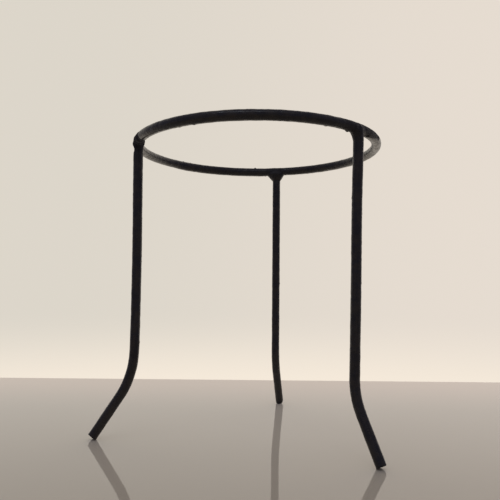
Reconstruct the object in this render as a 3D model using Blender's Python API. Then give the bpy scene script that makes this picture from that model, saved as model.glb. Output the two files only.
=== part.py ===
"""Laboratory tripod stand: a round steel ring carried by three bent steel legs.

Metres, +Z up. The feet stand on z = 0, and the origin is under the middle of the
stand's bounding box. Angles are about the ring's own axis, from +X towards +Y.
Everything is 4.6 mm round bar: one length rolled into the ring and closed by a
scarf joint, and three lengths bent into legs and butt-welded under the ring.
"""

import math
from collections import namedtuple

import bmesh
import bpy
from mathutils import Matrix, Vector

# Driving dimensions
BAR_RADIUS = 0.0023
RING_RADIUS = 0.0613  # to the middle of the bar, so the ring is 127.2 mm across outside
STAND_HEIGHT = 0.150
RING_AXIS = Vector((0.0092, -0.0054, 0.0))  # where the ring's axis meets the table
GAP = 0.0003  # left between a weld and the bars that it joins
FOOT_WEAR = 0.0003  # depth of the flat that each foot has worn where it stands

# Each leg drops from under the ring, bends once and splays out to its foot. Reach is
# the distance from the ring's axis, drift the distance to the left of the radius.
Leg = namedtuple(
    "Leg",
    "side angle bend_height bend_reach bend_drift bend_radius foot_reach foot_drift",
)
LEGS = (
    Leg("left", 195.0, 0.0323, 0.0610, -0.0018, 0.0433, 0.0807, -0.0088),
    Leg("right", -42.2, 0.0279, 0.0595, -0.0005, 0.0337, 0.0735, -0.0018),
    Leg("rear", 78.2, 0.0282, 0.0605, 0.0000, 0.0308, 0.0741, -0.0005),
)

# The ring's ends are cut aslant and welded face to face, just past the right leg. The
# cut runs up along the bar, from underneath next to the leg to the outer side.
SCARF_ANGLE = -28.4
SCARF_SLANT = -13.0  # from the bar to the cut
SCARF_ROLL = -57.7  # about the bar, from an upright cut towards a level one
SCARF_GAP = 0.0012
SCARF_LENGTH = 0.030

# A leg's weld spreads along the ring and runs down to a thin collar on the leg
WELD_SPREAD = 0.0062
WELD_THICKNESS = 0.0031
WELD_COLLAR = 0.0029
WELD_TOP = 0.0005  # below the middle of the bar
WELD_HEIGHT = 0.0056

# Fineness of the round shapes. Fourteen sides put a flat on the top of the ring.
BAR_SIDES = 14
RING_SEGMENTS = 96
BEND_SEGMENTS = 8
WELD_SIDES = 28
SHARP_ANGLE = math.radians(40)

RING_HEIGHT = STAND_HEIGHT - BAR_RADIUS
LEG_TOP = RING_HEIGHT - BAR_RADIUS - GAP
CUTTER_SIZE = 0.3
UP = Vector((0.0, 0.0, 1.0))

PAINT_COLOUR = (0.014, 0.013, 0.015, 1.0)
WELD_COLOUR = (0.010, 0.009, 0.010, 1.0)


def clear_scene():
    for thing in list(bpy.data.objects):
        bpy.data.objects.remove(thing, do_unlink=True)


def new_collection(name):
    collection = bpy.data.collections.new(name)
    bpy.context.scene.collection.children.link(collection)
    return collection


def paint(name, colour, roughness):
    """Black stoving paint over steel."""
    material = bpy.data.materials.new(name)
    material.use_nodes = True
    shader = material.node_tree.nodes["Principled BSDF"]
    shader.inputs["Base Color"].default_value = colour
    shader.inputs["Metallic"].default_value = 0.0
    shader.inputs["Roughness"].default_value = roughness
    material.diffuse_color = colour
    return material


def placed(thing, stand, collection):
    """Hang the object on the stand's empty and file it in the collection."""
    for other in list(thing.users_collection):
        other.objects.unlink(thing)
    collection.objects.link(thing)
    thing.parent = stand
    return thing


def as_part(thing, stand, collection, colour=PAINT_COLOUR, roughness=0.42):
    placed(thing, stand, collection)
    thing.data.shade_smooth()
    thing.data.set_sharp_from_angle(angle=SHARP_ANGLE)
    thing.data.materials.append(paint(thing.name + "_paint", colour, roughness))
    return thing


def as_cutter(thing, stand, collection):
    placed(thing, stand, collection)
    thing.hide_render = True
    thing.display_type = "WIRE"
    return thing


def boolean(thing, cutter, operation):
    modifier = thing.modifiers.new(cutter.name, "BOOLEAN")
    modifier.operation = operation
    modifier.solver = "EXACT"
    modifier.object = cutter


def ring_bar(name, bar_radius):
    """A whole ring of round bar."""
    bpy.ops.mesh.primitive_torus_add(
        major_radius=RING_RADIUS,
        minor_radius=bar_radius,
        major_segments=RING_SEGMENTS,
        minor_segments=BAR_SIDES,
        location=UP * RING_HEIGHT,
    )
    ring = bpy.context.object
    ring.name = name
    return ring


def directions(leg):
    """Unit vectors outwards along the leg's radius and to its left."""
    angle = math.radians(leg.angle)
    outwards = Vector((math.cos(angle), math.sin(angle), 0.0))
    return outwards, UP.cross(outwards)


def fillet(start, corner, end, radius):
    """Points round a corner, on the arc that is tangent to both of its sides."""
    back = (start - corner).normalized()
    ahead = (end - corner).normalized()
    half = back.angle(ahead) / 2
    centre = corner + (back + ahead).normalized() * (radius / math.sin(half))
    first = corner + back * (radius / math.tan(half)) - centre
    axis = back.cross(ahead)
    sweep = math.pi - 2 * half
    return [
        centre + Matrix.Rotation(-sweep * step / BEND_SEGMENTS, 3, axis) @ first
        for step in range(BEND_SEGMENTS + 1)
    ]


def leg_path(leg):
    """The middle line of a leg, from the ring down to the foot."""
    outwards, left = directions(leg)
    top = outwards * RING_RADIUS + UP * LEG_TOP
    corner = outwards * leg.bend_reach + left * leg.bend_drift + UP * leg.bend_height
    foot = outwards * leg.foot_reach + left * leg.foot_drift
    splay = (foot - corner).angle(-UP)
    foot += UP * (BAR_RADIUS * math.sin(splay) - FOOT_WEAR)
    return [top, *fillet(top, corner, foot, leg.bend_radius), foot]


def bent_bar(name, path, radius):
    """Round bar along a path, with square ends, as a closed mesh."""
    curve = bpy.data.curves.new(name, "CURVE")
    curve.dimensions = "3D"
    curve.bevel_depth = radius
    curve.bevel_resolution = (BAR_SIDES - 4) // 2
    curve.use_fill_caps = True
    spline = curve.splines.new("POLY")
    spline.points.add(len(path) - 1)
    for point, place in zip(spline.points, path):
        point.co = (*place, 1.0)
    guide = bpy.data.objects.new(name + "_guide", curve)
    bpy.context.scene.collection.objects.link(guide)
    evaluated = guide.evaluated_get(bpy.context.evaluated_depsgraph_get())
    mesh = bpy.data.meshes.new_from_object(evaluated)
    solid = bmesh.new()
    solid.from_mesh(mesh)
    bmesh.ops.remove_doubles(solid, verts=solid.verts, dist=1e-6)
    solid.to_mesh(mesh)
    solid.free()
    bar = bpy.data.objects.new(name, mesh)
    bar.matrix_world = guide.matrix_world
    bpy.data.objects.remove(guide)
    return bar


def scarf_slab(name, thickness):
    """A thin slab through the ring, aslant to the bar and rolled about it."""
    bpy.ops.mesh.primitive_cube_add(size=1.0)
    slab = bpy.context.object
    slab.name = name
    slab.data.transform(Matrix.Diagonal((thickness, SCARF_LENGTH, 4 * BAR_RADIUS, 1.0)))
    angle = math.radians(SCARF_ANGLE)
    slab.location = (
        RING_RADIUS * math.cos(angle),
        RING_RADIUS * math.sin(angle),
        RING_HEIGHT,
    )
    facing = Matrix.Rotation(angle, 3, "Z")
    rolled = Matrix.Rotation(math.radians(SCARF_ROLL), 3, "Y")
    slanted = Matrix.Rotation(math.radians(SCARF_SLANT), 3, "Z")
    slab.rotation_euler = (facing @ rolled @ slanted).to_euler()
    return slab


def weld_blank(name, leg):
    """A funnel, round at the leg and drawn out along the ring at its mouth."""
    solid = bmesh.new()
    bmesh.ops.create_cone(
        solid,
        cap_ends=True,
        segments=WELD_SIDES,
        radius1=WELD_COLLAR,
        radius2=WELD_SPREAD,
        depth=WELD_HEIGHT,
    )
    for vertex in solid.verts:
        if vertex.co.z > 0:
            vertex.co.x *= WELD_THICKNESS / WELD_SPREAD
    mesh = bpy.data.meshes.new(name)
    solid.to_mesh(mesh)
    solid.free()
    weld = bpy.data.objects.new(name, mesh)
    outwards, _ = directions(leg)
    height = RING_HEIGHT - WELD_TOP - WELD_HEIGHT / 2
    weld.location = outwards * RING_RADIUS + UP * height
    weld.rotation_euler.z = math.radians(leg.angle)
    return weld


def below_table(name):
    """Everything under the table's surface."""
    bpy.ops.mesh.primitive_cube_add(size=CUTTER_SIZE, location=-UP * CUTTER_SIZE / 2)
    block = bpy.context.object
    block.name = name
    return block


def build():
    clear_scene()
    parts = new_collection("tripod_stand")
    cutters = new_collection("cutters")
    stand = bpy.data.objects.new("stand", None)
    stand.location = RING_AXIS
    parts.objects.link(stand)

    slot = as_cutter(scarf_slab("scarf_slot", SCARF_GAP), stand, cutters)
    slice_ = as_cutter(scarf_slab("scarf_slice", SCARF_GAP - 2 * GAP), stand, cutters)
    table = as_cutter(below_table("table"), stand, cutters)
    ring_room = as_cutter(ring_bar("ring_room", BAR_RADIUS + GAP), stand, cutters)

    ring = as_part(ring_bar("ring", BAR_RADIUS), stand, parts)
    boolean(ring, slot, "DIFFERENCE")
    ring_weld = ring_bar("ring_weld", BAR_RADIUS)
    as_part(ring_weld, stand, parts, WELD_COLOUR, 0.5)
    boolean(ring_weld, slice_, "INTERSECT")

    for leg in LEGS:
        path = leg_path(leg)
        bar = as_part(bent_bar("leg_" + leg.side, path, BAR_RADIUS), stand, parts)
        boolean(bar, table, "DIFFERENCE")
        room = bent_bar("room_" + leg.side, path, BAR_RADIUS + GAP)
        room = as_cutter(room, stand, cutters)
        weld = weld_blank("weld_" + leg.side, leg)
        as_part(weld, stand, parts, WELD_COLOUR, 0.5)
        boolean(weld, ring_room, "DIFFERENCE")
        boolean(weld, room, "DIFFERENCE")


build()
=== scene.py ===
"""The looks of a laboratory tripod stand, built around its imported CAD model.

Metres, in the CAD model's own axes: +Z up, feet on z = 0, -Y towards the front. Angles
are about the ring's axis, from +X towards +Y. A place on the ring is an angle and a
section angle: 0 on the outer side of the bar, 90 on top, 180 inside and -90 underneath.
The bars are grids of points swept along their middle lines. The welds are surfaces of
distance functions, so that their metal runs smoothly into the bars.
"""

import math
from collections import namedtuple

import bpy
import numpy as np
from mathutils import Matrix, Vector, noise


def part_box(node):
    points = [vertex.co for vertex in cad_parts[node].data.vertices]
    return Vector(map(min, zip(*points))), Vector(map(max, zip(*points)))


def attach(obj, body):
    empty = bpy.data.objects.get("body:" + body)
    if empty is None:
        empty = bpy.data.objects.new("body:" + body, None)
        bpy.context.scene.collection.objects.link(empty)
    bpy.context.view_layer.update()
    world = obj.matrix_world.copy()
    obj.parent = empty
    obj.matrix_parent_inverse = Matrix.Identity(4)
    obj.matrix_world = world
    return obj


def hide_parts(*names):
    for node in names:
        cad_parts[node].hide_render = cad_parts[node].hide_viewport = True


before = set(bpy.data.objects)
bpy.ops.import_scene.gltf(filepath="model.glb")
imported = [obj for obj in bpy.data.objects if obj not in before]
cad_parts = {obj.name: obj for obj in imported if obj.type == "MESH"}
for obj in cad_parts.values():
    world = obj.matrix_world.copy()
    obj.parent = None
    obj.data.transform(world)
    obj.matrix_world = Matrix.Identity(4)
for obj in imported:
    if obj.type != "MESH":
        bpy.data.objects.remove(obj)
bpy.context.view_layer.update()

MM = 0.001
UP = np.array([0.0, 0.0, 1.0])

# The stand's driving dimensions, as the CAD model has them
BAR_RADIUS = 2.3 * MM
GAP = 0.3 * MM
ring_low, ring_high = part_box("ring")
RING_RADIUS = (ring_high.x - ring_low.x) / 2 - BAR_RADIUS
RING_CENTRE = np.array((ring_low + ring_high) / 2)
AXIS_FOOT = RING_CENTRE * (1, 1, 0)

Leg = namedtuple(
    "Leg",
    "side angle bend_height bend_reach bend_drift bend_radius foot_reach foot_drift",
)
LEGS = (
    Leg("left", 195.0, 0.0323, 0.0610, -0.0018, 0.0433, 0.0807, -0.0088),
    Leg("right", -42.2, 0.0279, 0.0595, -0.0005, 0.0337, 0.0735, -0.0018),
    Leg("rear", 78.2, 0.0282, 0.0605, 0.0000, 0.0308, 0.0741, -0.0005),
)

# The scarf joint that closes the ring: a plane aslant to the bar and rolled about it
SCARF_ANGLE = -28.4
SCARF_SLANT = -13.0
SCARF_ROLL = -57.7
SCARF_HALF_WIDTH = 0.35 * MM

# The seam in the paint where the scarf's weld meets the far end of the bar
SEAM_DEPTH = 0.16 * MM
SEAM_WIDTH = 0.17 * MM
SEAM_REACH = 15  # degrees to either side of the scarf's middle

PAINT = 0.07 * MM  # thickness of the coat on the bars

# The unevenness of each surface, as smooth noises of several sizes
Waves = namedtuple("Waves", "height size seed")
PAINT_WAVES = (
    Waves(0.045 * MM, 7 * MM, 1),
    Waves(0.065 * MM, 2.4 * MM, 2),
    Waves(0.030 * MM, 0.9 * MM, 3),
)
WELD_WAVES = (
    Waves(0.10 * MM, 1.5 * MM, 8),
    Waves(0.05 * MM, 0.7 * MM, 9),
)
SCARF_WAVES = (Waves(0.04 * MM, 0.9 * MM, 12),)
SAWN_WAVES = (Waves(0.05 * MM, 0.8 * MM, 6),)

# The lines that a drawing die leaves along a bar
LINE_RELIEF = 0.015 * MM
LINE_WIDTH = 0.55 * MM
LINE_LENGTH = 9 * MM

# The feet were sawn off. Wear is the depth of the flat that a foot stands on, outwards
# and left are the slopes of a cut that isn't square, and round is how much of the rim's
# upper side is filed away.
Foot = namedtuple("Foot", "wear outwards left round")
FEET = {
    "left": Foot(0.06 * MM, 0.20, 0.36, 0.10 * MM),
    "right": Foot(0.08 * MM, 0.0, 0.0, 0.55 * MM),
    "rear": Foot(0.04 * MM, 0.0, 0.0, 0.85 * MM),
}
ROUND_LENGTH = 1.6  # how many times longer the filed part is than it is deep
BURR = 0.05 * MM
BURR_LENGTH = 0.35 * MM
CUT_TAPER = 4 * MM  # length of leg over which the rows of points turn to follow the cut
CUT_RINGS = (0.97, 0.85, 0.62, 0.36, 0.14)  # rings of points across a cut, from the rim in

# The bars were bent and welded by hand, so the legs sway a little along their length
Sway = namedtuple("Sway", "side height spread shift")
SWAYS = (
    Sway("left", 0.095, 0.030, 0.22 * MM),
    Sway("left", 0.042, 0.012, -0.25 * MM),
    Sway("right", 0.140, 0.018, 0.33 * MM),
    Sway("right", 0.075, 0.030, 0.12 * MM),
)

# Fineness of the meshes
STEP_ALONG = 0.36 * MM
STEP_AT_SCARF = 0.16 * MM
FINE_RING = (-46, -15)  # the angles between which the ring has the finer steps
STEP_LEG = 0.34 * MM
STEP_AT_FOOT = 0.12 * MM
FINE_FOOT = 2 * MM  # length of the finer rows
SIDES = 60
NET_STEP = 0.15 * MM
NET_MARGIN = 4 * MM  # room for a weld's surface beyond its reach
LEG_OVERLAP = 1.2 * MM  # how far a leg's top end is sunk into the ring

# Spatter, drops and pits in the welds and the paint. Size is the radius at which a
# bump has faded to about a third, and a pit has a height below zero.
Fleck = namedtuple("Fleck", "angle section size height")
RING_FLECKS = (
    Fleck(-116.2, -96, 0.60 * MM, 0.22 * MM),
    Fleck(-123.8, -108, 0.55 * MM, 0.18 * MM),
    Fleck(-61.0, -104, 0.60 * MM, 0.24 * MM),
    Fleck(-48.6, -112, 0.95 * MM, 0.62 * MM),
    Fleck(137.0, 108, 0.45 * MM, 0.22 * MM),
    Fleck(132.0, 112, 0.40 * MM, 0.18 * MM),
    Fleck(91.0, 102, 0.55 * MM, 0.50 * MM),
    Fleck(84.8, -80, 0.40 * MM, 0.20 * MM),
    Fleck(147.0, 132, 0.45 * MM, -0.20 * MM),
    Fleck(44.0, -138, 0.50 * MM, 0.16 * MM),
    Fleck(51.0, -142, 0.55 * MM, 0.18 * MM),
    Fleck(58.0, -139, 0.45 * MM, 0.14 * MM),
    Fleck(208.0, -124, 0.50 * MM, 0.26 * MM),
    Fleck(210.5, -130, 0.40 * MM, 0.20 * MM),
    Fleck(-9.0, -168, 0.35 * MM, 0.16 * MM),
    Fleck(-35.0, -60, 0.54 * MM, -1.05 * MM),
    Fleck(-23.6, -11, 0.55 * MM, -1.10 * MM),
    Fleck(-44.5, 62, 0.50 * MM, -0.22 * MM),
    Fleck(72.6, -100, 0.45 * MM, -0.40 * MM),
)
# On a leg, the height above the table and the compass angle of the side it is on
LegFleck = namedtuple("LegFleck", "side height angle size rise")
LEG_FLECKS = (
    LegFleck("right", 0.1160, 180, 0.55 * MM, 0.18 * MM),
    LegFleck("right", 0.1090, 0, 0.50 * MM, 0.16 * MM),
    LegFleck("right", 0.0780, 0, 0.60 * MM, 0.18 * MM),
    LegFleck("rear", 0.0770, 0, 0.55 * MM, 0.20 * MM),
    LegFleck("left", 0.0480, 0, 0.60 * MM, 0.18 * MM),
    LegFleck("left", 0.1435, 190, 1.50 * MM, -0.45 * MM),
)
# Where the paint ran together under the ring and dried thicker, between two angles
Run = namedtuple("Run", "start end thickness")
PAINT_RUNS = (
    Run(84, 140, 0.34 * MM),
    Run(20, 72, 0.08 * MM),
    Run(-150, -85, 0.08 * MM),
)
RUN_SLOPE = 4  # degrees over which a run rises to half of its thickness
NIBS_ON_RING = 90
NIBS_ON_LEG = 36
NIB_SIZE = (0.25 * MM, 0.50 * MM)
NIB_HEIGHT = (0.04 * MM, 0.12 * MM)


def compass(degrees):
    """The level unit vector at an angle, and the level one to the left of it."""
    angle = math.radians(degrees)
    outwards = np.array([math.cos(angle), math.sin(angle), 0.0])
    return outwards, np.cross(UP, outwards)


def unit(vector):
    """The vector, or each of an array of vectors, scaled to a length of 1."""
    return vector / np.linalg.norm(vector, axis=-1, keepdims=True)


def faded(value, start, end):
    """0 on start's side and 1 on end's side, with a smooth slope between the two."""
    share = np.clip((value - start) / (end - start), 0, 1)
    return share * share * (3 - 2 * share)


def wander(points, size, seed):
    """Smooth noise from -1 to 1 at each point, with features of about the given size."""
    shift = np.array([7.3, 3.1, 5.7]) * seed
    flat = points.reshape(-1, 3) / size + shift
    values = [noise.noise(Vector(point)) for point in flat]
    return np.array(values).reshape(points.shape[:-1])


def uneven(points, waves):
    """The height of an uneven surface at each point."""
    return sum(wave.height * wander(points, wave.size, wave.seed) for wave in waves)


# ---------------------------------------------------------------- middle lines


def ring_direction(angles):
    """Level unit vectors at angles in radians."""
    return np.stack([np.cos(angles), np.sin(angles), 0 * angles], -1)


def on_ring(angle, section, radius=BAR_RADIUS):
    """A point of the ring's bar, and the direction in which its surface faces there."""
    outwards, _ = compass(angle)
    tilt = math.radians(section)
    facing = outwards * math.cos(tilt) + UP * math.sin(tilt)
    return RING_CENTRE + outwards * RING_RADIUS + facing * radius, facing


def leg_corners(leg):
    """The top end, the corner and the foot of a leg's middle line."""
    outwards, left = compass(leg.angle)
    top_height = RING_CENTRE[2] - BAR_RADIUS - GAP
    top = AXIS_FOOT + outwards * RING_RADIUS + UP * top_height
    corner = AXIS_FOOT + outwards * leg.bend_reach + left * leg.bend_drift
    corner = corner + UP * leg.bend_height
    foot = AXIS_FOOT + outwards * leg.foot_reach + left * leg.foot_drift
    slope = unit(foot - corner)
    splay = math.acos(np.dot(slope, -UP))
    foot = foot + UP * (BAR_RADIUS * math.sin(splay) - FEET[leg.side].wear)
    return top, corner, foot


def leg_line(leg):
    """Points, directions and distances along a leg, from inside the ring to its foot."""
    top, corner, foot = leg_corners(leg)
    back = unit(top - corner)
    ahead = unit(foot - corner)
    half = math.acos(np.dot(back, ahead)) / 2
    inset = leg.bend_radius / math.tan(half)
    centre = corner + unit(back + ahead) * (leg.bend_radius / math.sin(half))
    first = unit(corner + back * inset - centre)
    top = top + back * LEG_OVERLAP
    straight = np.linalg.norm(top - corner) - inset
    sweep = math.pi - 2 * half
    bend = sweep * leg.bend_radius
    last = np.linalg.norm(foot - corner) - inset
    total = straight + bend + last
    coarse = np.arange(0, total - FINE_FOOT, STEP_LEG)
    fine = np.linspace(total - FINE_FOOT, total, int(FINE_FOOT / STEP_AT_FOOT) + 1)
    travel = np.concatenate([coarse, fine])[:, None]
    turned = np.clip((travel - straight) / leg.bend_radius, 0, sweep)
    arc = centre + leg.bend_radius * (first * np.cos(turned) - back * np.sin(turned))
    along = -back * np.cos(turned) - first * np.sin(turned)
    before = np.clip(travel - straight, None, 0)
    after = np.clip(travel - straight - bend, 0, None)
    points = arc + along * (before + after)
    for sway in SWAYS:
        if sway.side == leg.side:
            near = np.exp(-(((points[:, 2] - sway.height) / sway.spread) ** 2))
            points[:, 0] += sway.shift * near
    return points, along, travel


# ------------------------------------------------------------- surface relief


def place_flecks(leg_lines):
    """Every fleck as a centre, a size and a height: the listed ones, then small nibs."""
    draw = np.random.default_rng(11)
    made = []
    for fleck in RING_FLECKS:
        centre, _ = on_ring(fleck.angle, fleck.section)
        made.append((centre, fleck.size, fleck.height))
    for fleck in LEG_FLECKS:
        points, _, _ = leg_lines[fleck.side]
        nearest = points[np.argmin(abs(points[:, 2] - fleck.height))]
        side, _ = compass(fleck.angle)
        made.append((nearest + side * BAR_RADIUS, fleck.size, fleck.rise))
    for _ in range(NIBS_ON_RING):
        centre, _ = on_ring(draw.uniform(0, 360), draw.uniform(0, 360))
        made.append((centre, draw.uniform(*NIB_SIZE), draw.uniform(*NIB_HEIGHT)))
    for points, _, _ in leg_lines.values():
        for _ in range(NIBS_ON_LEG):
            side, _ = compass(draw.uniform(0, 360))
            centre = points[draw.integers(len(points))] + side * BAR_RADIUS
            made.append((centre, draw.uniform(*NIB_SIZE), draw.uniform(*NIB_HEIGHT)))
    return made


def relief(points, flecks):
    """How far the painted surface stands proud of true round bar at each point."""
    proud = PAINT + uneven(points, PAINT_WAVES)
    for centre, size, height in flecks:
        away = np.sum((points - centre) ** 2, axis=-1)
        proud += height * np.exp(-away / size**2)
    under = faded(RING_CENTRE[2] - points[..., 2], 0.2 * BAR_RADIUS, BAR_RADIUS)
    under = under * faded(abs(bar_distance(points) - BAR_RADIUS), 1.5 * MM, 0.8 * MM)
    for run in PAINT_RUNS:
        past = turn_from(ring_angle(points), run.start)
        span = turn_from(run.end, run.start)
        begun = faded(past, -RUN_SLOPE, RUN_SLOPE)
        not_over = faded(past, span + RUN_SLOPE, span - RUN_SLOPE)
        proud += run.thickness * under * begun * not_over
    return proud


def drawn_lines(travel, turns):
    """Noise from -1 to 1 in long thin streaks, like the marks that a die leaves along a bar."""
    across = np.cos(turns) * BAR_RADIUS / LINE_WIDTH
    up = np.sin(turns) * BAR_RADIUS / LINE_WIDTH
    along = travel / LINE_LENGTH
    return wander(np.stack(np.broadcast_arrays(along, across, up), -1), 1.0, 14)


def scarf_distance(points):
    """Signed distance to the scarf's middle plane, above zero on its upper side."""
    centre, _ = on_ring(SCARF_ANGLE, 0, 0)
    turns = ((SCARF_ANGLE, "Z"), (SCARF_ROLL, "Y"), (SCARF_SLANT, "Z"))
    across = Vector((1, 0, 0))
    for angle, axis in reversed(turns):
        across = Matrix.Rotation(math.radians(angle), 3, axis) @ across
    return (points - centre) @ np.array(across)


def ring_angle(points):
    """Each point's angle round the ring, in degrees."""
    level = points - RING_CENTRE
    return np.degrees(np.arctan2(level[..., 1], level[..., 0]))


def turn_from(angles, start):
    """Degrees from start to each angle, from -180 to 180."""
    return (angles - start + 180) % 360 - 180


# ------------------------------------------------------------------- meshes


def make_piece(name, vertices, faces, node, lines=None):
    """One visible piece, which rides on the stand and replaces a CAD node."""
    mesh = bpy.data.meshes.new(name)
    mesh.from_pydata(vertices.tolist(), [], faces)
    mesh.validate()
    mesh.shade_smooth()
    piece = bpy.data.objects.new(name, mesh)
    bpy.context.scene.collection.objects.link(piece)
    add_marks(mesh, vertices, lines)
    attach(piece, "root")
    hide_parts(node)
    return piece


def grid_faces(rows, columns, closed):
    """Quads over a grid of points whose columns run round the bar."""
    faces = []
    for row in range(rows if closed else rows - 1):
        after = (row + 1) % rows
        for column in range(columns):
            beside = (column + 1) % columns
            faces.append(
                (
                    row * columns + column,
                    row * columns + beside,
                    after * columns + beside,
                    after * columns + column,
                )
            )
    return faces


def ring_angles():
    """Angles round the ring in radians, closer together where the scarf joint is."""
    fine_start, fine_end = (math.radians(angle) for angle in FINE_RING)
    fine = int((fine_end - fine_start) * RING_RADIUS / STEP_AT_SCARF)
    coarse_span = 2 * math.pi - (fine_end - fine_start)
    coarse = int(coarse_span * RING_RADIUS / STEP_ALONG)
    return np.concatenate(
        [
            np.linspace(fine_start, fine_end, fine, endpoint=False),
            np.linspace(fine_end, fine_start + 2 * math.pi, coarse, endpoint=False),
        ]
    )


def seam_groove(points):
    """Depth of the seam that shows where the scarf's weld meets the far end of the bar."""
    aside = scarf_distance(points) + SCARF_HALF_WIDTH
    away = abs(turn_from(ring_angle(points), SCARF_ANGLE))
    near = faded(away, SEAM_REACH + 3, SEAM_REACH)
    return SEAM_DEPTH * np.exp(-((aside / SEAM_WIDTH) ** 2)) * near


def build_ring(flecks):
    """The ring's bar, seamed at the scarf joint."""
    angles = ring_angles()[:, None]
    sections = np.linspace(0, 2 * math.pi, SIDES, endpoint=False)[None, :]
    outwards = ring_direction(angles + 0 * sections)
    facing = outwards * np.cos(sections)[..., None] + UP * np.sin(sections)[..., None]
    middle = RING_CENTRE + outwards * RING_RADIUS
    surface = middle + facing * BAR_RADIUS
    lines = drawn_lines(angles * RING_RADIUS, sections)
    proud = relief(surface, flecks) - seam_groove(surface) + LINE_RELIEF * lines
    surface = middle + facing * (BAR_RADIUS + proud)[..., None]
    rows = len(angles)
    faces = [face[::-1] for face in grid_faces(rows, SIDES, True)]
    return make_piece("ring_bar", surface.reshape(-1, 3), faces, "ring", lines)


def saw_cut(facing, leg, along):
    """How far past the end of the middle line the cut lies, for each side of the bar."""
    outwards, left = compass(leg.angle)
    foot = FEET[leg.side]
    normal = along + foot.outwards * outwards + foot.left * left
    return -BAR_RADIUS * (facing @ normal) / np.dot(along, normal)


def foot_relief(surface, facing, to_end, foot):
    """How far a foot's end stands proud: a burr all round, less the filed upper rim."""
    burr = BURR * np.clip(1 - to_end / BURR_LENGTH, 0, 1) * (1 + wander(surface, 1.6 * MM, 5))
    nearness = np.clip(1 - to_end / (ROUND_LENGTH * foot.round), 0, 1)
    upper = faded(facing[..., 2], -0.38, 0.02)
    return burr - foot.round * upper * (1 - np.sqrt(1 - nearness**2))


def sawn_face(rim, centre, along):
    """Rings of points across a foot's cut, a little below its burred rim."""
    rings = []
    for share in CUT_RINGS:
        sunk = (0.07 if share > 0.9 else 0.10) * MM
        ring = centre + (rim - centre) * share - along * sunk
        rings.append(ring + along * uneven(ring, SAWN_WAVES)[:, None])
    return rings


def build_leg(leg, line, flecks):
    """A bent bar with a sawn foot, burred at its rim and worn flat underneath."""
    middle, along, travel = line
    aside = unit(np.cross(along[0], along[-1]))
    across = np.cross(along, aside)
    turns = np.linspace(0, 2 * math.pi, SIDES, endpoint=False)[None, :, None]
    facing = across[:, None, :] * np.cos(turns) + aside * np.sin(turns)
    surface = middle[:, None, :] + facing * BAR_RADIUS
    lines = drawn_lines(travel, turns[..., 0])
    to_end = travel[-1] - travel
    proud = relief(surface, flecks) + LINE_RELIEF * lines
    proud += foot_relief(surface, facing, to_end, FEET[leg.side])
    past_end = saw_cut(facing[-1], leg, along[-1])
    slide = np.clip(1 - to_end / CUT_TAPER, 0, 1) * past_end
    surface = middle[:, None, :] + facing * (BAR_RADIUS + proud)[..., None]
    surface += along[:, None, :] * slide[..., None]
    cut = sawn_face(surface[-1], middle[-1], along[-1])
    points = np.concatenate([surface.reshape(-1, 3), *cut])
    lines = np.concatenate([lines, np.zeros((len(cut), SIDES))])
    count = len(lines)
    faces = [face[::-1] for face in grid_faces(count, SIDES, False)]
    faces.append(tuple(range(SIDES)))
    faces.append(tuple(range((count - 1) * SIDES, count * SIDES))[::-1])
    points[:, 2] = np.maximum(points[:, 2], 0)
    return make_piece(f"leg_{leg.side}_bar", points, faces, f"leg_{leg.side}", lines)


# ------------------------------------------------------------- weld surfaces


def smooth_union(one, other, width):
    """The nearer of two distances, rounded off where they are within width of each other."""
    share = np.clip(0.5 + 0.5 * (other - one) / width, 0, 1)
    return other + (one - other) * share - width * share * (1 - share)


ALL_BUT_LAST = slice(None, -1)
ALL_BUT_FIRST = slice(1, None)


def cut_out(cuts):
    """An index into a grid that takes the given slices of some axes and all of the rest."""
    return tuple(cuts.get(axis, slice(None)) for axis in range(3))


def without_pinches(values, step):
    """Grid distances with a little filled in wherever the surface would touch itself."""
    for _ in range(8):
        inside = values < 0
        fill = np.zeros_like(inside)
        for one, other in ((0, 1), (0, 2), (1, 2)):
            corners = (
                cut_out({one: ALL_BUT_LAST, other: ALL_BUT_LAST}),
                cut_out({one: ALL_BUT_FIRST, other: ALL_BUT_FIRST}),
                cut_out({one: ALL_BUT_LAST, other: ALL_BUT_FIRST}),
                cut_out({one: ALL_BUT_FIRST, other: ALL_BUT_LAST}),
            )
            here, across, beside, above = (inside[corner] for corner in corners)
            crossed = (here == across) & (beside == above) & (here != beside)
            for corner in corners:
                fill[corner] |= crossed
        values = np.where(fill & ~inside, -0.1 * step, values)
        if not fill.any():
            break
    return values


def largest_part(vertices, quads):
    """The mesh without the specks that aren't joined to its largest part."""
    labels = np.arange(len(vertices))
    while True:
        lowest = labels[quads].min(axis=1, keepdims=True)
        merged = labels.copy()
        np.minimum.at(merged, quads, np.broadcast_to(lowest, quads.shape))
        merged = merged[merged]
        if np.array_equal(merged, labels):
            break
        labels = merged
    kept = labels == np.bincount(labels).argmax()
    order = np.cumsum(kept) - 1
    return vertices[kept], order[quads[kept[quads[:, 0]]]]


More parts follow.
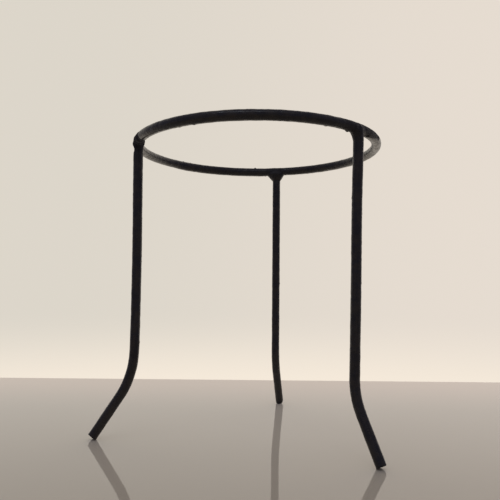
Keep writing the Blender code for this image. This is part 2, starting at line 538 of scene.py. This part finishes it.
def surface_net(distance, low, high, step):
    """The closed surface where distance(points) is zero, as vertices and quads."""
    counts = np.ceil((high - low) / step).astype(int) + 1
    ticks = [low[axis] + step * np.arange(counts[axis]) for axis in range(3)]
    values = distance(np.stack(np.meshgrid(*ticks, indexing="ij"), -1))
    values = without_pinches(values, step)
    total = np.zeros((*counts, 3))
    number = np.zeros(counts)
    quads = []
    for axis in range(3):
        one_step = np.eye(3, dtype=int)
        ahead, side, other = (one_step[(axis + turn) % 3] for turn in range(3))
        here = values[cut_out({axis: ALL_BUT_LAST})]
        there = values[cut_out({axis: ALL_BUT_FIRST})]
        edges = np.argwhere((here < 0) != (there < 0))
        before = here[tuple(edges.T)]
        after = there[tuple(edges.T)]
        crossing = edges + ahead * (before / (before - after))[:, None]
        cells = [edges, edges - side, edges - side - other, edges - other]
        for cell in cells:
            np.add.at(total, tuple(cell.T), crossing)
            np.add.at(number, tuple(cell.T), 1)
        corners = np.stack([np.ravel_multi_index(tuple(cell.T), counts) for cell in cells], 1)
        leaving = (before < 0)[:, None]
        quads.append(np.where(leaving, corners, corners[:, ::-1]))
    used = np.flatnonzero(number)
    order = np.zeros(number.size, int)
    order[used] = np.arange(len(used))
    vertices = low + step * (total.reshape(-1, 3)[used] / number.reshape(-1)[used, None])
    return largest_part(vertices, order[np.concatenate(quads)])


def point_normals(vertices, quads):
    """The direction in which the mesh faces at each vertex."""
    across = vertices[quads[:, 2]] - vertices[quads[:, 0]]
    along = vertices[quads[:, 3]] - vertices[quads[:, 1]]
    facing = np.cross(across, along)
    normals = np.zeros_like(vertices)
    for corner in range(4):
        np.add.at(normals, quads[:, corner], facing)
    return unit(normals)


def bar_distance(points):
    """Distance from the middle line of the ring's bar."""
    level = points - RING_CENTRE
    return np.hypot(np.hypot(level[..., 0], level[..., 1]) - RING_RADIUS, level[..., 2])


# Weld metal between a leg and the ring, in two halves: ahead is counterclockwise along the
# ring. Reach is how far the metal covers the ring, and lean how much less it reaches for
# each millimetre higher up. Fillet is how far the fillet under it runs along the ring, and
# steep how many times further it comes down the leg. Swell is how proud the metal stands,
# and toe the length over which it runs out into the bar. A flat weld has a straight bevel
# under it in place of a hollow fillet. Drop is how far down the leg the metal comes, and
# soot how dull the paint over it is.
Half = namedtuple("Half", "reach lean fillet steep swell toe")
Weld = namedtuple("Weld", "side ahead behind flat drop soot")
WELDS = (
    Weld(
        "left",
        Half(13.5 * MM, 0.0, 2.6 * MM, 1.0, 0.08 * MM, 2.4 * MM),
        Half(4.5 * MM, 0.0, 2.2 * MM, 1.0, 0.08 * MM, 2.4 * MM),
        False,
        7.5 * MM,
        1.7,
    ),
    Weld(
        "right",
        Half(-0.2 * MM, 1.3, 1.0 * MM, 1.0, 0.24 * MM, 1.2 * MM),
        Half(9.0 * MM, 0.0, 4.2 * MM, 1.0, 0.05 * MM, 4.5 * MM),
        False,
        7.0 * MM,
        0.8,
    ),
    Weld(
        "rear",
        Half(6.6 * MM, 0.0, 3.35 * MM, 1.15, 0.06 * MM, 3.0 * MM),
        Half(5.8 * MM, 0.0, 2.40 * MM, 1.55, 0.06 * MM, 3.0 * MM),
        True,
        6.5 * MM,
        0.5,
    ),
)
# Lumps of weld metal: places from the ring's bar at the leg, ahead, outwards and up
Lump = namedtuple("Lump", "side ahead outwards up radius")
LUMPS = (
    Lump("left", 0.6 * MM, -0.1 * MM, -1.2 * MM, 2.2 * MM),
    Lump("left", 3.6 * MM, 0.3 * MM, 0.2 * MM, 2.1 * MM),
    Lump("left", 1.0 * MM, -0.95 * MM, -0.4 * MM, 2.2 * MM),
    Lump("left", 5.0 * MM, -0.6 * MM, -0.5 * MM, 2.2 * MM),
    Lump("left", 9.0 * MM, -0.35 * MM, -0.4 * MM, 2.15 * MM),
    Lump("right", -1.4 * MM, 0.4 * MM, -0.8 * MM, 2.1 * MM),
    Lump("right", -4.0 * MM, 0.1 * MM, -0.5 * MM, 2.1 * MM),
    Lump("rear", 0.9 * MM, -0.6 * MM, -1.4 * MM, 2.0 * MM),
    Lump("rear", -1.0 * MM, -0.4 * MM, -2.3 * MM, 1.9 * MM),
)
SUNK = 0.25 * MM  # how far under the bar's surface a weld's hidden edges run
RAGGED = 0.35 * MM  # how far the visible edges wander
CREASE = 0.3 * MM  # rounding where metal meets metal without a fillet
BLEND = 0.6 * MM  # rounding where a lump or a bevel meets the metal around it
TRIM = 0.4 * MM  # how far beyond the metal's edge its surface is cut off
DULL_FROM = 0.9 * MM  # how far inside the metal's edge the dull paint starts to fade
# Over which length of the ring it fades behind each weld
BURNT_PAST = {"left": 1.6 * MM, "right": 9 * MM, "rear": 1.6 * MM}


def leg_middle(points, line):
    """Distance of each point from a leg's middle line, near the leg's top end."""
    middle, _, _ = line
    rising = middle[::-1]
    across = points[..., 0] - np.interp(points[..., 2], rising[:, 2], rising[:, 0])
    along = points[..., 1] - np.interp(points[..., 2], rising[:, 2], rising[:, 1])
    return np.hypot(across, along)


def past_weld(points, weld, leg):
    """How far along the ring each point is beyond the end of the weld metal."""
    along = np.radians(turn_from(ring_angle(points), leg.angle)) * RING_RADIUS
    height = points[..., 2] - RING_CENTRE[2]
    ahead = along - weld.ahead.reach + weld.ahead.lean * height
    behind = -along - weld.behind.reach + weld.behind.lean * height
    return np.maximum(ahead, behind), along


def measures(weld, share):
    """The weld's measures, where share goes from 0 behind the leg to 1 ahead of it."""
    pairs = zip(weld.behind, weld.ahead)
    return Half(*(behind + (ahead - behind) * share for behind, ahead in pairs))


def run_together(ring, stem, here, width, flat):
    """Ring and leg as one surface, with a bevel or a hollow fillet between them."""
    if flat:
        bevel = (ring / here.steep + stem - width) / np.hypot(1, 1 / here.steep)
        return smooth_union(smooth_union(ring, stem, CREASE), bevel, BLEND)
    return smooth_union(ring, stem, width)


def weld_distance(weld, leg, line):
    """The distance function of one weld: ring and leg, swollen and run together."""
    outwards, ahead = compass(leg.angle)
    centre = RING_CENTRE + outwards * RING_RADIUS
    lumps = [lump for lump in LUMPS if lump.side == weld.side]

    def distance(points):
        level = points - centre
        past, along = past_weld(points, weld, leg)
        here = measures(weld, faded(along, -1.2 * MM, 1.2 * MM))
        ragged = RAGGED * np.sin(level[..., 2] / (0.55 * MM) + 1.3 * level[..., 0] / MM)
        cover = faded(-(past + ragged), 0, here.toe)
        ring = bar_distance(points) - (BAR_RADIUS - SUNK + (SUNK + here.swell) * cover)
        deep = -level[..., 2]
        cover_leg = faded(deep + 0.6 * ragged, weld.drop, weld.drop - 2 * MM)
        stem = leg_middle(points, line)
        stem = stem - (BAR_RADIUS - SUNK + (SUNK + 0.6 * here.swell) * cover_leg)
        stem = np.maximum(stem, -deep - 0.2 * MM)
        width = CREASE + (here.fillet - CREASE) * faded(deep, -0.5 * MM, 2.0 * MM)
        metal = run_together(ring, stem, here, width, weld.flat)
        for lump in lumps:
            place = ahead * lump.ahead + outwards * lump.outwards + UP * lump.up
            ball = np.linalg.norm(level - place, axis=-1) - lump.radius
            metal = smooth_union(metal, ball, BLEND)
        metal = np.maximum(metal, past - TRIM)
        return np.maximum(metal, deep - weld.drop - TRIM)

    return distance


def build_weld(weld, leg, line, flecks):
    """The weld that holds a leg's top end under the ring."""
    outwards, _ = compass(leg.angle)
    centre = RING_CENTRE + outwards * RING_RADIUS
    reach = max(weld.ahead.reach, weld.behind.reach) + NET_MARGIN
    margin = np.array([reach, reach, NET_MARGIN])
    low = centre - margin - UP * (weld.drop - 1 * MM)
    high = centre + margin
    vertices, quads = surface_net(weld_distance(weld, leg, line), low, high, NET_STEP)
    normals = point_normals(vertices, quads)
    lumpy = uneven(vertices, WELD_WAVES) * weld_zone(vertices, weld, leg, TRIM)
    proud = relief(vertices, flecks) + lumpy
    vertices = vertices + normals * proud[:, None]
    return make_piece(f"weld_{weld.side}_metal", vertices, quads.tolist(), f"weld_{weld.side}")


def build_scarf(flecks):
    """The weld that fills the slanting cut in the ring, nearly flush with the bar."""

    def distance(points):
        slab = abs(scarf_distance(points)) - SCARF_HALF_WIDTH
        bar = bar_distance(points) - BAR_RADIUS - 0.05 * MM
        return -smooth_union(-slab, -bar, 0.35 * MM)

    box_low, box_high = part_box("ring_weld")
    margin = np.array([3, 3, 1]) * MM
    low = np.array(box_low) - margin
    high = np.array(box_high) + margin
    vertices, quads = surface_net(distance, low, high, NET_STEP)
    normals = point_normals(vertices, quads)
    proud = relief(vertices, flecks) + uneven(vertices, SCARF_WAVES)
    vertices = vertices + normals * proud[:, None]
    return make_piece("scarf_weld", vertices, quads.tolist(), "ring_weld")


# ------------------------------------------------------------- painted marks


def weld_zone(points, weld, leg, fade):
    """1 on a weld, fading to 0 at its edges over the given length of the ring."""
    past, _ = past_weld(points, weld, leg)
    depth = RING_CENTRE[2] - points[..., 2]
    not_below = faded(depth, weld.drop + 6 * MM, weld.drop)
    return faded(past, fade - DULL_FROM, -DULL_FROM) * not_below


# The dull paint between the right leg and the seam. Its near edge slants away from the leg
# by some degrees for each millimetre lower down, and it ends some degrees past the leg.
DULL_BY_LEG = 0.88
DULL_LOST = 0.10  # by how much it is less dull further on
DULL_SLANT = 1.1
DULL_END = 21


def near_scarf(points):
    """Dullness of the paint between the right leg and the ring's seam, and 0 beyond."""
    height = points[..., 2] - RING_CENTRE[2]
    past_leg = turn_from(ring_angle(points), LEGS[1].angle)
    past_slant = past_leg + DULL_SLANT * height / MM
    begun = 0.25 * faded(past_leg, 0, 1) + 0.75 * faded(past_slant, 1.5, 3.0)
    not_over = faded(past_leg, DULL_END + 5, DULL_END)
    aside = scarf_distance(points) + SCARF_HALF_WIDTH
    above_seam = faded(aside, -0.25 * MM, 0.1 * MM)
    not_on_leg = faded(height, -4 * MM, -3 * MM)
    dull = DULL_BY_LEG - DULL_LOST * faded(past_leg, 4, 14)
    return dull * begun * not_over * above_seam * not_on_leg


def dullness(points):
    """0 on glossy paint, and from 1 on dull, sooty paint."""
    zone = near_scarf(points)
    for weld, leg in zip(WELDS, LEGS):
        metal = weld_zone(points, weld, leg, 1.6 * MM)
        behind = faded(turn_from(ring_angle(points), leg.angle), 2, -2)
        burnt = weld_zone(points, weld, leg, BURNT_PAST[weld.side]) * behind
        depth = RING_CENTRE[2] - points[..., 2]
        soot = weld.soot * (1 - 0.65 * faded(depth, 1 * MM, 5 * MM))
        zone = np.maximum(zone, soot * np.maximum(metal, burnt))
    return np.clip(zone + 0.2 * zone * wander(points, 1.8 * MM, 21), 0, 2)


DEEP_PIT = -0.3 * MM


def pit_shade_mask(points):
    """1 at the bottom of each deep pit in the ring, and 0 away from them: where shade is
    painted into the pits.
    """
    deep = np.zeros(points.shape[:-1])
    for fleck in RING_FLECKS:
        if fleck.height < DEEP_PIT:
            centre, _ = on_ring(fleck.angle, fleck.section)
            away = np.sum((points - centre) ** 2, axis=-1)
            deep = np.maximum(deep, np.exp(-away / fleck.size**2))
    return deep


def wear(points):
    """Where the paint is rubbed: the top of the ring, and the rims of the feet."""
    top = faded(points[..., 2], RING_CENTRE[2] + 0.90 * BAR_RADIUS, RING_CENTRE[2] + BAR_RADIUS)
    foot = faded(points[..., 2], 1.6 * MM, 0.1 * MM)
    return np.clip(np.maximum(0.8 * top, foot), 0, 1)


def add_marks(mesh, points, lines):
    """Stores what the paint's material has to know about each point of a mesh."""
    # The pit mark is where shade is painted into the bottoms of the deep pits
    marks = {"dull": dullness(points), "pit": pit_shade_mask(points), "wear": wear(points)}
    if lines is not None:
        marks["lines"] = lines.ravel()
    for name, values in marks.items():
        layer = mesh.attributes.new(name, "FLOAT", "POINT")
        layer.data.foreach_set("value", values.astype(np.float32))


# ---------------------------------------------------------------- materials


class Nodes:
    """Short ways to add shader nodes to one material or world."""

    def __init__(self, tree):
        self.tree = tree

    def add(self, kind, **settings):
        node = self.tree.nodes.new("ShaderNode" + kind)
        for name, value in settings.items():
            setattr(node, name, value)
        return node

    def feed(self, socket, value):
        if isinstance(value, bpy.types.NodeSocket):
            self.tree.links.new(value, socket)
        else:
            socket.default_value = value

    def math(self, operation, one, other):
        node = self.add("Math", operation=operation)
        self.feed(node.inputs[0], one)
        self.feed(node.inputs[1], other)
        return node.outputs[0]

    def spread(self, value, old_low, old_high, low, high):
        """Value mapped smoothly from one range to another, held at its ends."""
        node = self.add("MapRange", interpolation_type="SMOOTHSTEP")
        for socket, content in zip(node.inputs, (value, old_low, old_high, low, high)):
            self.feed(socket, content)
        return node.outputs[0]

    def mix(self, share, one, other):
        node = self.add("Mix", data_type="RGBA")
        self.feed(node.inputs["Factor"], share)
        self.feed(node.inputs[6], one)
        self.feed(node.inputs[7], other)
        return node.outputs[2]

    def noise(self, place, size, detail=2.0, rough=0.5):
        node = self.add("TexNoise")
        self.feed(node.inputs["Vector"], place)
        node.inputs["Scale"].default_value = 1 / size
        node.inputs["Detail"].default_value = detail
        node.inputs["Roughness"].default_value = rough
        return node.outputs["Fac"]

    def mark(self, name):
        return self.add("Attribute", attribute_name=name).outputs["Fac"]


BLACK = (0.0052, 0.0047, 0.0085, 1.0)
BROWNISH = (0.0230, 0.0182, 0.0155, 1.0)
SOOT = (0.0120, 0.0114, 0.0165, 1.0)
# Painted shade: a near-black colour for the bottoms of the deep pits
PIT_SHADE = (0.0015, 0.0013, 0.0012, 1.0)
RUST = (0.036, 0.019, 0.010, 1.0)
STEEL = (0.20, 0.19, 0.18, 1.0)

# Sizes of the paint's patterns
MOTTLE = 4 * MM
PEEL = 1.7 * MM
GRAIN = 0.42 * MM
FLAW = 0.8 * MM

# How far the patterns show in the colour, the roughness and the bumps
LINES_IN_COLOUR = 0.16
MOST_SOOT = 0.9
MOST_RUST = 0.45
CHIP_LEVEL = 0.86  # the paint is off where the flaws rise above this
WEAR_LOWERS_LEVEL = 0.30
MOTTLE_IN_ROUGHNESS = 0.16
LINES_IN_ROUGHNESS = 0.07
DULL_IN_ROUGHNESS = 0.48
LEAST_ROUGHNESS = 0.12
PEEL_HEIGHT = 0.8
GRAIN_HEIGHT = 0.06
LINE_HEIGHT = 0.10
PORE_HEIGHT = -0.5
CHIP_DEPTH = 0.8

Patterns = namedtuple("Patterns", "mottle peel grain flaws lines dull pit chipped")


def paint_patterns(make):
    """The noises and the stored marks that the paint's looks are made from."""
    place = make.add("TexCoord").outputs["Object"]
    flaws = make.noise(place, FLAW, 4, 0.7)
    # The pit mark carries painted shade, which darkens the bottoms of the deep pits
    pit = make.spread(make.mark("pit"), 0.12, 0.45, 0, 1)
    worn = make.math("MULTIPLY", make.mark("wear"), WEAR_LOWERS_LEVEL)
    over = make.math("SUBTRACT", flaws, make.math("SUBTRACT", CHIP_LEVEL, worn))
    return Patterns(
        mottle=make.noise(place, MOTTLE, 4, 0.6),
        peel=make.noise(place, PEEL, 1, 0.35),
        grain=make.noise(place, GRAIN, 1),
        flaws=flaws,
        lines=make.mark("lines"),
        dull=make.math("ADD", make.mark("dull"), pit),
        pit=pit,
        chipped=make.spread(over, 0.0, 0.05, 0, 1),
    )


def paint_colour(make, at):
    """Uneven black, sooty over the welds, faintly stained, bare where it is chipped, and with
    painted shade in the deep pits.
    """
    tone = make.math("ADD", at.mottle, make.math("MULTIPLY", at.lines, LINES_IN_COLOUR))
    colour = make.mix(make.spread(tone, 0.36, 0.64, 0, 1), BLACK, BROWNISH)
    colour = make.mix(make.math("MINIMUM", at.dull, MOST_SOOT), colour, SOOT)
    stain = make.math("MULTIPLY", make.spread(at.flaws, 0.58, 0.70, 0, 1), MOST_RUST)
    colour = make.mix(stain, colour, RUST)
    colour = make.mix(at.chipped, colour, STEEL)
    # Painted shade: the bottoms of the deep pits are coloured near black
    return make.mix(at.pit, colour, PIT_SHADE)


def paint_roughness(make, at, gloss):
    """Roughness from gloss upwards, mottled and streaked, and far rougher where it is dull."""
    rough = make.spread(at.mottle, 0.35, 0.65, gloss, gloss + MOTTLE_IN_ROUGHNESS)
    rough = make.math("ADD", rough, make.spread(at.grain, 0.35, 0.65, -0.04, 0.10))
    rough = make.math("ADD", rough, make.math("MULTIPLY", at.lines, LINES_IN_ROUGHNESS))
    rough = make.math("ADD", rough, make.math("MULTIPLY", at.dull, DULL_IN_ROUGHNESS))
    return make.math("MINIMUM", make.math("MAXIMUM", rough, LEAST_ROUGHNESS), 1.0)


def paint_height(make, at):
    """Orange peel, grain, drawn lines, pores and chips, as shares of the bump's distance."""
    height = make.math("MULTIPLY", at.peel, PEEL_HEIGHT)
    height = make.math("ADD", height, make.math("MULTIPLY", at.grain, GRAIN_HEIGHT))
    height = make.math("ADD", height, make.math("MULTIPLY", at.lines, LINE_HEIGHT))
    height = make.math("ADD", height, make.spread(at.flaws, 0.64, 0.74, 0, PORE_HEIGHT))
    return make.math("SUBTRACT", height, make.math("MULTIPLY", at.chipped, CHIP_DEPTH))


def black_paint(name, gloss, shine, lumpiness):
    """Satin black stoving paint: uneven, a little pitted, dull over welds, worn at edges."""
    material = bpy.data.materials.new(name)
    material.use_nodes = True
    shader = material.node_tree.nodes["Principled BSDF"]
    shader.inputs["Specular IOR Level"].default_value = shine
    make = Nodes(material.node_tree)
    at = paint_patterns(make)
    make.feed(shader.inputs["Base Color"], paint_colour(make, at))
    make.feed(shader.inputs["Metallic"], make.math("MULTIPLY", at.chipped, 0.8))
    make.feed(shader.inputs["Roughness"], paint_roughness(make, at, gloss))
    bump = make.add("Bump")
    bump.inputs["Strength"].default_value = 1.0
    bump.inputs["Distance"].default_value = lumpiness
    make.feed(bump.inputs["Height"], paint_height(make, at))
    make.feed(shader.inputs["Normal"], bump.outputs["Normal"])
    return material


# -------------------------------------------------------------------- stage

TABLE_BACK = 0.153  # from the ring's axis to the far edge of the table
TABLE_SIZE = 5.0
TABLE_THICKNESS = 0.03
TABLE_NEAR = (0.595, 0.53, 0.412, 1)
# The far colour is painted light: the table is coloured lighter where the backdrop would light
# it
TABLE_PAINTED_LIT = (1.0, 0.93, 0.77, 1)
PAINTED_LIGHT_DEPTH = 0.35  # depth of the strip along the far edge that is lighter
TABLE_ROUGHNESS = (0.025, 0.045)
TABLE_SHINE = 0.7
HAZE = 0.02  # size of the smears on the table, as a share of its width
# Painted glow: the table's far edge emits light in this colour, standing in for light that the
# backdrop spills onto it
PAINTED_GLOW = (1.0, 0.55, 0.42, 1)  # light that the backdrop spills onto the far edge
PAINTED_GLOW_STRENGTH = 0.068
PAINTED_GLOW_DEPTH = 0.11


def pale_table():
    """A pale, nearly glossy top, with the backdrop's light painted on: a lighter colour and a
    faint glow towards its far edge.
    """
    material = bpy.data.materials.new("pale_table")
    material.use_nodes = True
    shader = material.node_tree.nodes["Principled BSDF"]
    make = Nodes(material.node_tree)
    place = make.add("TexCoord").outputs["Object"]
    haze = make.noise(place, HAZE, 3)
    axes = make.add("SeparateXYZ")
    make.feed(axes.inputs[0], place)
    depth = axes.outputs[1]
    edge = 0.5
    # Painted light: the colour turns lighter towards the far edge, as if the backdrop lit it
    # more there
    painted_lit = make.spread(depth, edge - PAINTED_LIGHT_DEPTH / TABLE_SIZE, edge, 0, 1)
    painted_glow = make.spread(depth, edge - PAINTED_GLOW_DEPTH / TABLE_SIZE, edge, 0, PAINTED_GLOW_STRENGTH)
    make.feed(shader.inputs["Base Color"], make.mix(painted_lit, TABLE_NEAR, TABLE_PAINTED_LIT))
    make.feed(shader.inputs["Roughness"], make.spread(haze, 0.3, 0.7, *TABLE_ROUGHNESS))
    # Painted glow: the strip along the far edge emits light, as if the backdrop spilled light
    # onto it
    make.feed(shader.inputs["Emission Strength"], painted_glow)
    shader.inputs["Emission Color"].default_value = PAINTED_GLOW
    shader.inputs["Specular IOR Level"].default_value = TABLE_SHINE
    return material


def build_table():
    """A smooth pale table top that ends a little way behind the stand."""
    bpy.ops.mesh.primitive_cube_add(size=1.0)
    table = bpy.context.object
    table.name = "table_top"
    table.scale = (TABLE_SIZE, TABLE_SIZE, TABLE_THICKNESS)
    back = AXIS_FOOT[1] + TABLE_BACK
    table.location = (AXIS_FOOT[0], back - TABLE_SIZE / 2, -TABLE_THICKNESS / 2)
    table.data.materials.append(pale_table())


WALL_LEFT = (0.719, 0.671, 0.592, 1)
WALL_RIGHT = (0.79, 0.715, 0.635, 1)
WALL_LOW = (0.925, 0.828, 0.708, 1)
ROOM = (0.212, 0.203, 0.248, 1)
# Parts of a direction, between which one tone passes into the next
LEFT_TO_RIGHT = (-0.35, 0.42)
HIGH_TO_LOW = (-0.055, -0.20)
ROOM_TO_WALL = (0.18, 0.82)


def build_world():
    """A pale lit backdrop behind the stand, brightest low down, and a dim room in front."""
    world = bpy.data.worlds.new("backdrop")
    bpy.context.scene.world = world
    world.use_nodes = True
    background = world.node_tree.nodes["Background"]
    make = Nodes(world.node_tree)
    axes = make.add("SeparateXYZ")
    make.feed(axes.inputs[0], make.add("TexCoord").outputs["Generated"])
    side, behind, height = axes.outputs
    wall = make.mix(make.spread(side, *LEFT_TO_RIGHT, 0, 1), WALL_LEFT, WALL_RIGHT)
    wall = make.mix(make.spread(height, *HIGH_TO_LOW, 0, 1), wall, WALL_LOW)
    around = make.mix(make.spread(behind, *ROOM_TO_WALL, 0, 1), ROOM, wall)
    make.feed(background.inputs["Color"], around)


LIGHT_PLACE = (-0.2, -0.9, 1.6)
LIGHT_WIDTH = 1.4
LIGHT_DEPTH = 0.25
LIGHT_POWER = 1.9
LIGHT_COLOUR = (0.86, 0.92, 1.0)


def build_light():
    """One large soft light above and in front of the stand."""
    light = bpy.data.lights.new("softbox", "AREA")
    light.shape = "RECTANGLE"
    light.size = LIGHT_WIDTH
    light.size_y = LIGHT_DEPTH
    light.energy = LIGHT_POWER
    light.color = LIGHT_COLOUR
    lamp = bpy.data.objects.new("softbox", light)
    lamp.location = LIGHT_PLACE
    aim = Vector(RING_CENTRE) - lamp.location
    lamp.rotation_euler = aim.to_track_quat("-Z", "Y").to_euler()
    bpy.context.scene.collection.objects.link(lamp)


CAMERA_BACK = 0.2870  # from the ring's axis
CAMERA_HEIGHT = 0.0792
CAMERA_LENS = 39.66
CAMERA_YAW = -0.65
CAMERA_PITCH = 3.08
CAMERA_ROLL = 0.43
SENSOR_WIDTH = 36.0


def build_camera():
    """The camera, in front of the stand and about half as high as the ring."""
    yaw, pitch, roll = (math.radians(a) for a in (CAMERA_YAW, CAMERA_PITCH, CAMERA_ROLL))
    camera = bpy.data.objects.new("camera", bpy.data.cameras.new("camera"))
    camera.data.lens = CAMERA_LENS
    camera.data.sensor_width = SENSOR_WIDTH
    camera.data.clip_start = 0.01
    camera.data.clip_end = 20.0
    place = Vector(AXIS_FOOT) + Vector((0, -CAMERA_BACK, CAMERA_HEIGHT))
    heading = Matrix.Rotation(-yaw, 4, "Z") @ Matrix.Rotation(math.pi / 2 + pitch, 4, "X")
    camera.matrix_world = Matrix.Translation(place) @ heading @ Matrix.Rotation(roll, 4, "Z")
    bpy.context.scene.collection.objects.link(camera)
    bpy.context.scene.camera = camera


def build_stand():
    """The four bars and the four welds, each in place of its CAD node."""
    lines = {leg.side: leg_line(leg) for leg in LEGS}
    flecks = place_flecks(lines)
    bar_paint = black_paint("bar_paint", gloss=0.19, shine=0.48, lumpiness=0.16 * MM)
    weld_paint = black_paint("weld_paint", gloss=0.21, shine=0.42, lumpiness=0.20 * MM)
    bars = [build_ring(flecks)]
    welds = [build_scarf(flecks)]
    for leg, weld in zip(LEGS, WELDS):
        bars.append(build_leg(leg, lines[leg.side], flecks))
        welds.append(build_weld(weld, leg, lines[leg.side], flecks))
    for bar in bars:
        bar.data.materials.append(bar_paint)
    for weld in welds:
        weld.data.materials.append(weld_paint)


build_camera()
build_stand()
build_table()
build_world()
build_light()
bpy.context.scene.view_settings.view_transform = "Standard"
